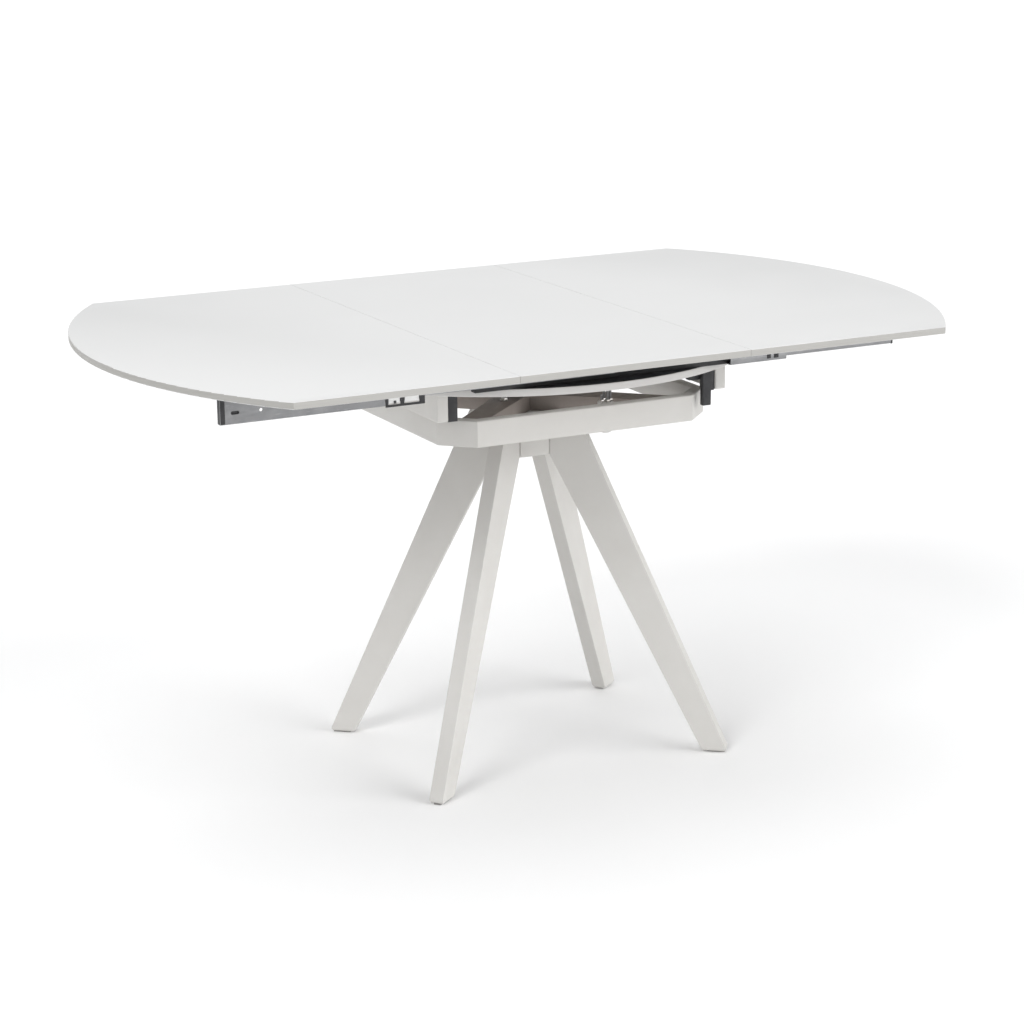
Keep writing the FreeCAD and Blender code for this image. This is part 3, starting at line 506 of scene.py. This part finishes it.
def hub_covers(materials):
    """Cover plates on the hub, with rounded rims."""
    builder = from_node("hub_cover_plates")
    soften(builder, COVER_ROUNDING, 2, 50)
    stand_for("hub_covers_rounded", builder, [materials["frame_paint"]], "hub_cover_plates")


def leg_bolts(materials):
    """Hexagonal bolts with washers, two parts to each shank: a rod and a chamfered point."""
    builder = bmesh.new()
    head_height = 5 * MM
    washer = 0.9 * MM
    shank_radius = 3 * MM
    point_radius = 2.2 * MM
    chamfer = 0.8 * MM
    for low, high in islands("leg_bolts"):
        middle = (low + high) / 2
        width = high.x - low.x
        seat = Vector((middle.x, middle.y, high.z - head_height))
        point = low.z - seat.z
        disc = ((width * 0.5, 0), (width * 0.5, washer * 0.7), (width * 0.47, washer))
        add_turned(builder, disc, seat)
        add_hex_head(builder, seat + Vector((0, 0, washer)), width * 0.78, head_height - washer)
        add_turned(builder, ((shank_radius, point + chamfer), (shank_radius, 0)), seat, steps=20)
        add_turned(builder, ((point_radius, point), (shank_radius, point + chamfer)), seat, steps=20)
    stand_for("leg_bolts_hex", builder, [materials["fastener_steel"]], "leg_bolts")


def quarter_turn(steps=4):
    """Cosine and sine at even steps over a quarter turn."""
    angles = [math.pi / 2 * step / steps for step in range(steps + 1)]
    return [(math.cos(angle), math.sin(angle)) for angle in angles]


def c_section(height, depth):
    """Corner points of a rolled C channel: distance from the web's face, height from its middle."""
    half = height / 2
    inner = half - SLIDE_WALL
    fillet_across = 0.2 * MM
    fillet_up = 0.6 * MM
    bead = (half - SLIDE_ROUNDING) * 0.62
    bead_depth = 0.5 * MM
    bead_slope = 1.6 * MM
    points = [
        (depth, half),
        (depth, inner),
        (SLIDE_WALL + fillet_across, inner),
        (SLIDE_WALL, inner - fillet_up),
        (SLIDE_WALL, fillet_up - inner),
        (SLIDE_WALL + fillet_across, -inner),
        (depth, -inner),
        (depth, -half),
    ]
    points += [(SLIDE_ROUNDING * (1 - sine), SLIDE_ROUNDING * (1 - cosine) - half)
               for cosine, sine in quarter_turn()]
    points += [(0, -bead), (bead_depth, bead_slope - bead), (bead_depth, bead - bead_slope), (0, bead)]
    points += [(SLIDE_ROUNDING * (1 - cosine), half - SLIDE_ROUNDING * (1 - sine))
               for cosine, sine in quarter_turn()]
    return points


def slide_member(node, materials):
    """One rolled slide member that fills its CAD node's box."""
    low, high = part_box(node)
    web, direction = outside_face(low, high)
    if node.endswith("inner"):
        web += direction * (high.y - low.y)
        direction = -direction
    middle = (low.z + high.z) / 2
    section = c_section(high.z - low.z, high.y - low.y)
    builder = bmesh.new()
    ends = [[builder.verts.new((x, web + direction * across, middle + up)) for across, up in section]
            for x in (low.x, high.x)]
    for index in range(len(section)):
        after = (index + 1) % len(section)
        builder.faces.new((ends[0][index], ends[0][after], ends[1][after], ends[1][index]))
    for end in ends:
        builder.faces.new(end)
    stand_for(node + "_rolled", builder, [materials["slide_steel"]], node)


def slides(materials):
    """All slide members except the left outer ones."""
    for node in NODES:
        drilled = node.startswith("left_") and node.endswith("outer")
        if "_slide_" in node and not drilled:
            slide_member(node, materials)


def left_outer_slides(materials):
    """Left outer members keep their CAD slot and holes, with softened edges and an end stop."""
    for node in ("left_front_slide_outer", "left_back_slide_outer"):
        low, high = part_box(node)
        builder = from_node(node)
        soften(builder, COVER_ROUNDING, 2, 60)
        stand_for(node + "_softened", builder, [materials["slide_steel"]], node)
        stop = bmesh.new()
        add_box(stop, (low.x - 0.3 * MM, low.y - 0.4 * MM, low.z - 0.2 * MM),
                (low.x + 9 * MM, high.y + 0.4 * MM, high.z - 0.4 * MM), 2.2 * MM, 4)
        add_box(stop, (low.x + 6 * MM, low.y + 2 * MM, low.z + 5 * MM),
                (low.x + 40 * MM, high.y - 2 * MM, high.z - 8 * MM), 1 * MM, 2)
        keep(node + "_end_stop", stop, [materials["black_plastic"]], node)


def lever(materials):
    """Moulded lever: the CAD outline with generous rounding, and grip ribs on the handle."""
    low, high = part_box("lock_lever")
    builder = from_node("lock_lever")
    soften(builder, LEVER_ROUNDING, 4, 50)
    for rise in (8, 14, 20, 26):
        add_box(builder, (low.x + 3.5 * MM, low.y - 0.02 * MM, low.z + rise * MM),
                (high.x - 6.5 * MM, low.y + 1.2 * MM, low.z + (rise + 1.8) * MM), 0.5 * MM)
    stand_for("lock_lever_moulded", builder, [materials["black_plastic"]], "lock_lever")


def plastic_blocks(materials):
    """The glide blocks beside the beams' ends, and the lever's bracket."""
    builder = bmesh.new()
    for low, high in islands("glide_blocks"):
        add_box(builder, low, high, BLOCK_ROUNDING, 3)
    stand_for("glide_blocks_moulded", builder, [materials["black_plastic"]], "glide_blocks")
    box_piece("lever_bracket", "_moulded", BLOCK_ROUNDING, 3, materials["black_plastic"])


def cage_tabs(materials):
    """Bright steel ball strips in the windows of the left cages, with a black patch over the first that
    paints the shade of a gap.
    """
    low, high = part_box("left_ball_cages")
    strips = bmesh.new()
    gap_shade = bmesh.new()
    windows = ((4.6, 23.4), (31.6, 55.4))
    for face, inward in ((low.y, 1), (high.y, -1)):
        near, far = layer(face, inward, 0.5, 1.6)
        for start, end in windows:
            add_box(strips, (low.x + start * MM, near, low.z + 5.5 * MM),
                    (low.x + end * MM, far, high.z - 5.5 * MM), 0.45 * MM, 3)
        # black patch in front of the first strip: painted shade of a gap
        near, far = layer(face, inward, 0.2, 1.2)
        add_box(gap_shade, (low.x + 13 * MM, near, low.z + 4.6 * MM),
                (low.x + 17.5 * MM, far, low.z + 9.5 * MM), 0.4 * MM, 3)
    keep("left_cage_strips", strips, [materials["cage_steel"]], "left_ball_cages")
    keep("left_cage_gap_shade", gap_shade, [materials["black_plastic"]], "left_ball_cages")


def right_slide_details(materials):
    """Caps on the ends of the right middle members, and two flat black patches in each outer web that
    paint the shade in its detent recesses.
    """
    for side in ("front", "back"):
        node = f"right_{side}_slide_middle"
        low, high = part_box(node)
        near, far = layer(*outside_face(low, high), -0.3, 1.9)
        cap = bmesh.new()
        add_box(cap, (high.x - 3 * MM, near, low.z - 0.2 * MM),
                (high.x + 0.6 * MM, far, high.z + 0.2 * MM), 0.8 * MM, 3)
        keep(f"right_{side}_slide_cap", cap, [materials["black_plastic"]], node)
        node = f"right_{side}_slide_outer"
        low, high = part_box(node)
        # flat black patches on the web: painted shade of the detent recesses
        near, far = layer(*outside_face(low, high), -0.25, 0.25)
        detent_shade = bmesh.new()
        for start, end in ((68, 75.5), (81, 90)):
            add_box(detent_shade, (low.x + start * MM, near, low.z + 4 * MM),
                    (low.x + end * MM, far, low.z + 12 * MM), 0.2 * MM, 2)
        keep(f"right_{side}_slide_detents", detent_shade, [materials["black_plastic"]], node)


def thread_profile(radius, start, end):
    """Radii and heights of a threaded rod, one groove per millimetre."""
    pitch = 1 * MM
    root = radius * 0.84
    profile = []
    for turn in range(int((end - start) / pitch)):
        rise = start + turn * pitch
        profile += [(root, rise), (radius, rise + pitch / 2)]
    return profile + [(root, end)]


def brake(materials):
    """Domed barrel up to its bracket, and a cluster of threaded studs with nuts above it."""
    low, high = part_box("brake_housing")
    centre = (low + high) / 2
    radius = (high.x - low.x) / 2
    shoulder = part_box("brake_bracket")[1].z + 1 * MM
    dome = 8 * MM
    tip = 0.2 * MM
    profile = [(max(radius * sine, tip), low.z + dome * (1 - cosine)) for cosine, sine in quarter_turn(8)]
    profile += [(radius, shoulder - 1 * MM), (radius - 1 * MM, shoulder)]
    barrel = bmesh.new()
    add_turned(barrel, profile, (centre.x, centre.y, 0))
    stand_for("brake_barrel", barrel, [materials["frame_paint"]], "brake_housing")
    studs = bmesh.new()
    nuts = bmesh.new()
    for across, along, reach in ((-8, -2, 0.6), (0, -7, 1.0), (8, -1, 1.0), (1, 7, 0.8)):
        foot = Vector((centre.x + across * MM, centre.y + along * MM, 0))
        top = shoulder + (high.z - shoulder) * reach
        add_turned(studs, thread_profile(2.4 * MM, shoulder - 1 * MM, top), foot, steps=16)
        add_hex_head(nuts, foot + Vector((0, 0, shoulder)), 7.6 * MM, 4 * MM)
    keep("brake_studs", studs, [materials["bearing_steel"]], "brake_housing")
    keep("brake_nuts", nuts, [materials["fastener_steel"]], "brake_housing")


def assemble_pieces(materials):
    """Replace or add to the CAD nodes that show detail."""
    ring_tubes(materials)
    brace_arms(materials)
    bars(materials)
    board(materials)
    leg_bolts(materials)
    slides(materials)
    left_outer_slides(materials)
    lever(materials)
    plastic_blocks(materials)
    tops(materials)
    cage_tabs(materials)
    right_slide_details(materials)
    brake(materials)
    hub_covers(materials)
    NODES["foot_glides"].data.materials[0] = materials["grey_felt"]


# ---------------------------------------------------------------- studio

CAMERA_PLACE = Vector((-2.0289, -4.0811, 1.6121))
CAMERA_YAW = math.radians(26.519)
CAMERA_PITCH = math.radians(14.749)
CAMERA_ROLL = math.radians(-0.692)
LENS_MM = 98.23
SENSOR_MM = 36.0

# Azimuth, elevation and apparent width in degrees, and strength
LIGHTS = {
    "key": (-50, 23, 50, 1.75),
    "left_fill": (212, 36, 25, 1.05),
    "overhead": (100, 76, 70, 1.25),
}
SKY_COLOUR = (0.985, 0.99, 1.0, 1)
SKY_STRENGTH = 0.37
FLOOR_RADIUS = 40


def add_camera():
    """Camera at the given place, turned right, tilted down and rolled by the given angles."""
    data = bpy.data.cameras.new("camera")
    data.lens = LENS_MM
    data.sensor_width = SENSOR_MM
    data.clip_end = 60
    camera = bpy.data.objects.new("camera", data)
    forward = Vector((math.sin(CAMERA_YAW) * math.cos(CAMERA_PITCH),
                      math.cos(CAMERA_YAW) * math.cos(CAMERA_PITCH), -math.sin(CAMERA_PITCH)))
    right = Vector((math.cos(CAMERA_YAW), -math.sin(CAMERA_YAW), 0))
    up = right.cross(forward)
    turned_right = math.cos(CAMERA_ROLL) * right + math.sin(CAMERA_ROLL) * up
    turned_up = -math.sin(CAMERA_ROLL) * right + math.cos(CAMERA_ROLL) * up
    axes = Matrix((turned_right, turned_up, -forward)).transposed()
    camera.matrix_world = Matrix.Translation(CAMERA_PLACE) @ axes.to_4x4()
    bpy.context.scene.collection.objects.link(camera)
    bpy.context.scene.camera = camera


def add_sun(name, azimuth, elevation, width, strength):
    """Distant soft light that shines from the given direction."""
    data = bpy.data.lights.new(name, "SUN")
    data.energy = strength
    data.angle = math.radians(width)
    lamp = bpy.data.objects.new(name, data)
    turn = math.radians(azimuth)
    lift = math.radians(elevation)
    level = math.cos(lift)
    towards = Vector((math.cos(turn) * level, math.sin(turn) * level, math.sin(lift)))
    lamp.matrix_world = towards.to_track_quat("Z", "Y").to_matrix().to_4x4()
    bpy.context.scene.collection.objects.link(lamp)


def add_studio():
    """White paper floor under an even sky, with a key light at front right, a fill and an overhead."""
    mesh = bpy.data.meshes.new("floor")
    builder = bmesh.new()
    bmesh.ops.create_circle(builder, cap_ends=True, segments=96, radius=FLOOR_RADIUS)
    builder.to_mesh(mesh)
    builder.free()
    mesh.materials.append(floor_paper())
    floor = bpy.data.objects.new("floor", mesh)
    bpy.context.scene.collection.objects.link(floor)
    world = bpy.data.worlds.new("studio")
    world.use_nodes = True
    sky = world.node_tree.nodes["Background"]
    sky.inputs["Color"].default_value = SKY_COLOUR
    sky.inputs["Strength"].default_value = SKY_STRENGTH
    bpy.context.scene.world = world
    for name, setting in LIGHTS.items():
        add_sun(name, *setting)
    bpy.context.scene.view_settings.view_transform = "Standard"


# ---------------------------------------------------------------- assembly

materials = make_materials()
dress_cad_nodes(materials)
assemble_pieces(materials)
add_camera()
add_studio()
